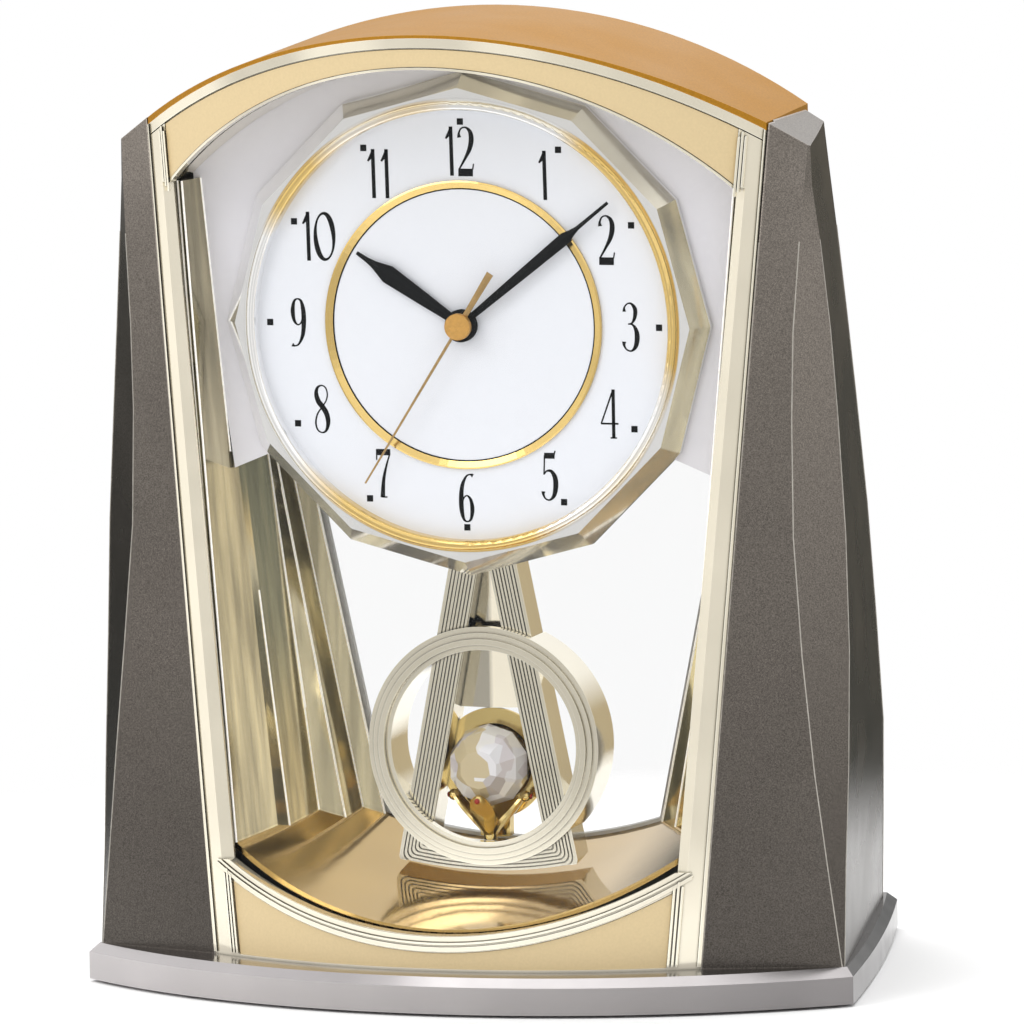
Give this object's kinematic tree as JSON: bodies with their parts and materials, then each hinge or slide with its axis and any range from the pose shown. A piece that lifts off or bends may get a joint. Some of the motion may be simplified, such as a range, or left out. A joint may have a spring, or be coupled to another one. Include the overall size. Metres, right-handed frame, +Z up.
{
  "type": "desk pendulum clock",
  "caption": "Desk clock with a bowed front, round dial in a faceted bezel, and a ribbed pendulum with a crystal that swings in a mirrored niche.",
  "frame": {"origin": "centre of the base on the surface it stands on", "axes": "+Z up, the dial faces -Y, +X to the right as the front shows it"},
  "size_m": [0.206, 0.16, 0.2518],
  "materials": {
    "satin_silver": "satin",
    "gunmetal": "fine metallic",
    "bronze": "satin metallic",
    "champagne_plate": "polished champagne plate",
    "gold_plate": "polished",
    "beige_panel": "satin gloss",
    "clear_plastic": "clear",
    "olive_gold_mirror": "mirror plate",
    "lavender_panel": "satin",
    "dial_white": "matte",
    "hand_black": "semi-gloss",
    "black_plastic": "moulded",
    "dark_plastic": "moulded",
    "crystal_glass": "cut and polished",
    "zinc_steel": "plated",
    "brass_metal": "turned",
    "cell_jacket": "printed film",
    "foot_rubber": "matte"
  },
  "bodies": {
    "clock_case": {"base_plinth": "satin_silver", "bottom_plate": "black_plastic", "base_feet": "foot_rubber", "bottom_screws": "zinc_steel", "front_frame": "champagne_plate", "arch_panel": "beige_panel", "lower_panel": "beige_panel", "front_pane": "clear_plastic", "side_panel_right": "gunmetal", "side_panel_left": "gunmetal", "top_cover": "bronze", "niche_wall_right": "olive_gold_mirror", "niche_wall_left": "olive_gold_mirror", "niche_floor": "olive_gold_mirror", "arch_reveal": "champagne_plate", "shelf": "black_plastic", "window_frame": "dark_plastic", "rear_window": "clear_plastic", "back_panel": "lavender_panel", "dial_bezel": "champagne_plate", "dial": "dial_white", "dial_ring": "gold_plate", "shaft_bush": "brass_metal", "shaft_washer": "zinc_steel", "shaft_nut": "brass_metal", "movement_case": "black_plastic", "drive_case": "black_plastic", "pivot_bracket": "black_plastic", "pivot_pin": "zinc_steel", "battery": "cell_jacket", "rear_cover": "dark_plastic", "door_pins": "zinc_steel"},
    "hour_hand": {"hour_hand": "hand_black", "hour_arbor": "brass_metal"},
    "minute_hand": {"minute_hand": "hand_black", "minute_arbor": "brass_metal"},
    "second_hand": {"second_hand": "gold_plate", "second_arbor": "zinc_steel"},
    "set_knob": {"set_knob": "dark_plastic"},
    "pendulum": {"pendulum_frame": "champagne_plate", "pendulum_plate": "champagne_plate", "pendulum_ring": "champagne_plate", "crystal": "crystal_glass", "crystal_shell": "gold_plate", "crystal_petals": "gold_plate", "pendulum_magnet": "zinc_steel"},
    "rear_door": {"rear_door": "dark_plastic"}
  },
  "joints": [
    {"name": "minute_turn", "type": "hinge", "parent": "clock_case", "child": "minute_hand", "pos_m": [0, -0.04, 0.1723], "axis": [0, 1, 0], "continuous": true},
    {"name": "hour_turn", "type": "hinge", "parent": "clock_case", "child": "hour_hand", "pos_m": [0, -0.0385, 0.1723], "axis": [0, 1, 0], "continuous": true},
    {"name": "second_turn", "type": "hinge", "parent": "clock_case", "child": "second_hand", "pos_m": [0, -0.0413, 0.1723], "axis": [0, 1, 0], "continuous": true},
    {"name": "knob_turn", "type": "hinge", "parent": "clock_case", "child": "set_knob", "pos_m": [0.014, -0.004, 0.1843], "axis": [0, 1, 0], "continuous": true},
    {"name": "pendulum_swing", "type": "hinge", "parent": "clock_case", "child": "pendulum", "pos_m": [0, -0.0195, 0.1383], "axis": [0, 1, 0], "range_deg": [-5, 5]},
    {"name": "door_hinge", "type": "hinge", "parent": "clock_case", "child": "rear_door", "pos_m": [0, 0.02285, 0.146], "axis": [-1, 0, 0], "range_deg": [0, 95]}
  ],
  "couplings": [
    {"joint": "hour_turn", "follows": "minute_turn", "ratio": 0.083333},
    {"joint": "second_turn", "follows": "minute_turn", "ratio": 60},
    {"joint": "knob_turn", "follows": "minute_turn", "ratio": 1}
  ]
}
